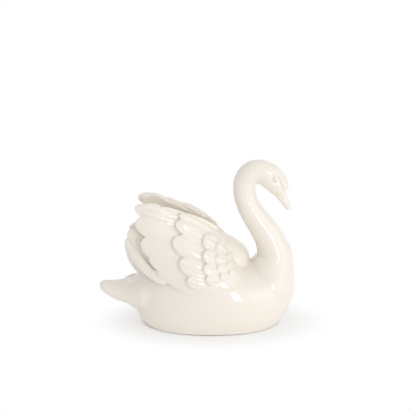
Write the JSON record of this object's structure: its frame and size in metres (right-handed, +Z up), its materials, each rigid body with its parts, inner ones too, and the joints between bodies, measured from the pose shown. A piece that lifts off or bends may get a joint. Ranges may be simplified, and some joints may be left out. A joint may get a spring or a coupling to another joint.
{
  "type": "swan figurine",
  "caption": "Swan-shaped table ornament in glazed porcelain, with raised feathered wings, a curved neck and a flat foot to stand on.",
  "frame": {"origin": "on the table plane, under the middle of the overall box", "axes": "+X the way the swan faces, +Y to the swan's left, +Z up"},
  "size_m": [0.1, 0.053, 0.085],
  "materials": {
    "porcelain": "gloss"
  },
  "bodies": {
    "root": {"swan": "porcelain"}
  },
  "joints": []
}
